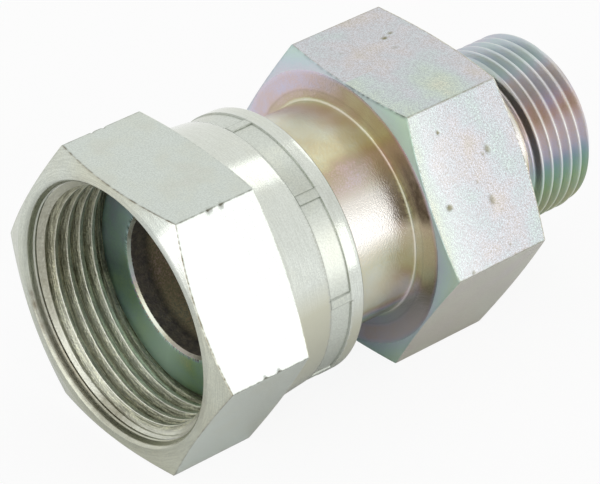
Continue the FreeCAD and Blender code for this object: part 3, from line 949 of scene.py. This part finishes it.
def seen_white(tree, to_camera, in_mirror, otherwise):
    """A share of white: one for what looks straight, one for what sees it mirrored, one for the rest."""
    path = add(tree, "ShaderNodeLightPath", {}).node.outputs
    straight = add(tree, "ShaderNodeMath", {0: path["Is Camera Ray"], 1: path["Is Transmission Ray"]},
                   operation="MAXIMUM")
    mirrored = add(tree, "ShaderNodeMapRange", {"Value": path["Is Glossy Ray"], "To Min": otherwise,
                                                "To Max": in_mirror})
    return add(tree, "ShaderNodeMix", {"Factor": straight, 2: mirrored, 3: to_camera}, data_type="FLOAT")


def make_stage():
    """A round pale table in a white room."""
    mesh = bpy.data.meshes.new("table")
    low = -HALF_FLATS * MM
    turns = [side / TABLE_SIDES * math.tau for side in range(TABLE_SIDES)]
    rim = [(TABLE_RADIUS * math.cos(turn), TABLE_RADIUS * math.sin(turn), low) for turn in turns]
    mesh.from_pydata(rim, [], [range(TABLE_SIDES)])
    table = put_in_scene("table", mesh)
    material = bpy.data.materials.new("matt_white_table")
    tree = empty_tree(material)
    matt = add(tree, "ShaderNodeBsdfDiffuse", {"Color": linear("#F2F2F2")})
    glow = add(tree, "ShaderNodeEmission", {"Color": linear("#FFFFFF"), "Strength": 1.0})
    spot = add(tree, "ShaderNodeTexCoord", {}).node.outputs["Object"]
    around = add(tree, "ShaderNodeVectorMath", {0: spot, 1: OVAL_SQUEEZE, 2: OVAL_SHIFT},
                 operation="MULTIPLY_ADD")
    away = add(tree, "ShaderNodeVectorMath", {0: around}, operation="LENGTH").node.outputs["Value"]
    mirrored = add(tree, "ShaderNodeMapRange", {"Value": away, "From Min": WHITE_START,
                                                "From Max": WHITE_END})
    white = seen_white(tree, TABLE_SEEN, mirrored, otherwise=0.0)
    both = add(tree, "ShaderNodeMixShader", {0: white, 1: matt, 2: glow})
    add(tree, "ShaderNodeOutputMaterial", {"Surface": both})
    mesh.materials.append(material)
    world = bpy.data.worlds.new("white_room")
    bpy.context.scene.world = world
    tree = empty_tree(world)
    white = seen_white(tree, to_camera=1.0, in_mirror=1.0, otherwise=ROOM_LIGHT)
    room = add(tree, "ShaderNodeBackground", {"Color": linear("#FFFFFF"), "Strength": white})
    add(tree, "ShaderNodeOutputWorld", {"Surface": room})


# Soft boxes: how bright their mirror image is, and how far they stand from the fitting, in metres
LAMP_RADIANCE = 0.85
LAMP_DISTANCE = 0.7


def add_light(name, azimuth, elevation, width, height):
    """A flat lamp that faces the fitting from a direction, as bright as its mirror image has to look."""
    lamp = bpy.data.lights.new(name, "AREA")
    lamp.shape = "RECTANGLE"
    lamp.size, lamp.size_y = width, height
    lamp.energy = LAMP_RADIANCE * math.pi * width * height
    piece = put_in_scene(name, lamp)
    turn, rise = math.radians(azimuth), math.radians(elevation)
    toward = Vector((math.cos(turn) * math.cos(rise), math.sin(turn) * math.cos(rise), math.sin(rise)))
    piece.location = (cad_box[0] + cad_box[1]) / 2 + toward * LAMP_DISTANCE
    side = Vector((-math.sin(turn), math.cos(turn), 0))
    piece.rotation_euler = Matrix((side, toward.cross(side), toward)).transposed().to_euler()
    piece.visible_camera = False


# The photograph's viewpoint, from a fit to the corners of both hexagons. It looks toward a point right of
# and above a place on the axis, in millimetres.
CAMERA_AZIMUTH, CAMERA_ELEVATION, CAMERA_ROLL = -131.544, 35.029, 1.523
CAMERA_PLACE_ON_AXIS, CAMERA_RIGHT, CAMERA_ABOVE = -59.65, 24.237, 9.339
CAMERA_DISTANCE = 507.173
LENS, SENSOR = 228.82, 36


def make_camera():
    """The photograph's camera."""
    azimuth, elevation, roll = (math.radians(angle) for angle in
                                (CAMERA_AZIMUTH, CAMERA_ELEVATION, CAMERA_ROLL))
    level = math.cos(elevation)
    forward = Vector((-math.cos(azimuth) * level, -math.sin(azimuth) * level, -math.sin(elevation)))
    right = forward.cross(Vector((0, 0, 1))).normalized()
    up = right.cross(forward)
    right, up = right * math.cos(roll) + up * math.sin(roll), up * math.cos(roll) - right * math.sin(roll)
    aim = Vector((CAMERA_PLACE_ON_AXIS, 0, 0)) + right * CAMERA_RIGHT + up * CAMERA_ABOVE
    place = aim - forward * CAMERA_DISTANCE
    lens = bpy.data.cameras.new("camera")
    lens.sensor_width = SENSOR
    lens.lens = LENS
    lens.clip_start = 0.01
    camera = put_in_scene("camera", lens)
    turn = Matrix((right, up, -forward)).transposed().to_4x4()
    camera.matrix_world = Matrix.Translation(place * MM) @ turn
    bpy.context.scene.camera = camera


bpy.context.scene.view_settings.view_transform = "Standard"
make_camera()
make_stage()
add_light("right_softbox", azimuth=-73, elevation=10, width=0.48, height=0.455)
add_light("left_softbox", azimuth=183, elevation=14.5, width=0.65, height=0.667)
add_light("overhead_strip", azimuth=12, elevation=44, width=0.25, height=0.21)

body_finishes = {
    # drawn bar under a mottled film: a pale shimmer of lilac, green and straw, with a fine sparkle,
    # near-white painted light, and olive pits and worn edges
    "flats": plated_steel("passivated_drawn_flats", metal="#DEE2DE", bright="#F2F3F0", share=0.42,
                          drift=0.12, fleck=0.1, grain=0.17, grit=0.02, speckle=0.35, roughness=0.2,
                          spot_and_painted_shade_colour="#7F7A58"),
    # turned corner bevels, frosty under a thick film: blue to mint green, with a pale mint painted highlight
    # and a worn dark edge
    "bevels": plated_steel("passivated_corner_bevels", metal="#DCE2E4", bright="#D6F0DC", share=0.6,
                           drift=0.04, fleck=0.04, roughness=0.5, spot_and_painted_shade_colour="#34332C"),
    # faced steel under a thick film: rose, gold and brown round the hexagon's face, with pale rose painted
    # light and a dark brown painted reflection
    "face": plated_steel("passivated_faced_steel", metal="#DCE2E4", bright="#E2D6DA", share=0.9,
                         deep=0.85, drift=0.07, fleck=0.04, lines=0.004, spot_and_painted_shade_colour="#4A3C2A"),
    # turned barrel under a thin film: pale straw with a frosty sparkle, a near-white painted highlight, and
    # a brown painted dark reflection by the hexagon
    "barrel": plated_steel("passivated_turned_barrel", metal="#DCE2DC", bright="#E8E4E0", share=0.9,
                           drift=0.08, fleck=0.06, grain=0.2, grit=0.018, speckle=0.12, roughness=0.17,
                           spot_and_painted_shade_colour="#54402C"),
    # thread under a film whose colours run round the stud, with painted highlights on its crests, and
    # painted light and shade round the axis
    "stud": plated_steel("passivated_cut_thread", bright="#DFE3DD", share=0.75, drift=0.06, fleck=0.05,
                         grit=0.015, roughness=0.28),
    # fine-turned sealing face under a thick film: deep blue, teal and olive, with pale green painted light
    # and dark grey-green painted shade
    "nose": plated_steel("passivated_sealing_face", bright="#CFE8DE", share=1.0, deep=1.2, drift=0.09,
                         fleck=0.04, grit=0.006, speckle=0.15, roughness=0.4, spot_and_painted_shade_colour="#3E4640"),
    # smooth bevel of the mouth: a bright ring in gold, rose and green, dimmed by painted shade over most of
    # the axis
    "mouth": plated_steel("passivated_mouth", share=0.5, drift=0.03, fleck=0.05, grit=0.006,
                          roughness=0.18),
    # drilled bore under a rough film: mottled khaki, with purple-brown painted shade in the throat
    "bore": plated_steel("passivated_drilled_bore", metal="#C8CCC4", share=0.8, drift=0.08, fleck=0.12,
                         grain=0.3, grit=0.03, speckle=0.5, soil="#4C4A38", roughness=0.45, oxide=0.5,
                         spot_and_painted_shade_colour="#4C4A4A"),
}
nut_finishes = {
    # drawn bar, brightly plated: almost white, with a faint grain, and a painted highlight on one flat
    "flats": plated_steel("zinc_plated_drawn_flats", metal="#D0D7D0", bright="#DEE3DE", share=0.12,
                          drift=0.3, fleck=0.15, grit=0.01, speckle=0.16, roughness=0.22),
    # turned faces, brightly plated, with fine turning lines, a painted highlight on the bevels, and brown
    # for rusty marks, worn edges and painted shade in the mouth and on the face
    "turned": plated_steel("zinc_plated_turned_steel", metal="#DEE4DE", bright="#F4F6F0", share=0.5,
                           drift=0.03, fleck=0.03, grit=0.008, speckle=0.16, lines=0.006, dirt=0.18,
                           spot_and_painted_shade_colour="#66583E"),
    # skirt behind the hexagon, smooth and mirror bright, with fine streaks round it; its lower side takes a
    # yellow-grey painted shade
    "skirt": plated_steel("zinc_plated_smooth_skirt", metal="#DFE4DD", bright="#C8C8B6", share=0.1,
                          drift=0.2, grit=0.004, speckle=0.12, lines=0.003, dirt=0.1, roughness=0.15),
    # skirt where the crimping dies pressed it: dull, with a painted highlight and painted shade, and grey
    # outlines of the prints
    "crimped": plated_steel("zinc_plated_crimped_steel", metal="#D4D9D0", bright="#E8EAE0", share=0.15,
                            drift=0.2, grit=0.012, speckle=0.2, roughness=0.3, spot_and_painted_shade_colour="#7E8279"),
    # thread cut into the nut: dull grey-green flanks with fine dark cutting lines and painted highlights on
    # the crests, under painted shade round the axis
    "thread": plated_steel("zinc_plated_cut_thread", metal="#E6E6C8", bright="#F6F8EC", share=0.2,
                           drift=0.2, fleck=0.3, grain=0.3, grit=0.05, speckle=0.35, ring=0.2, lines=0.02,
                           dirt=0.75, soil="#3C3E2A", roughness=0.35, oxide=0.2, spot_and_painted_shade_colour="#8A8672"),
}
make_body(body_finishes)
make_nut(nut_finishes)
make_seal_ring({"rubber": nitrile_rubber()})
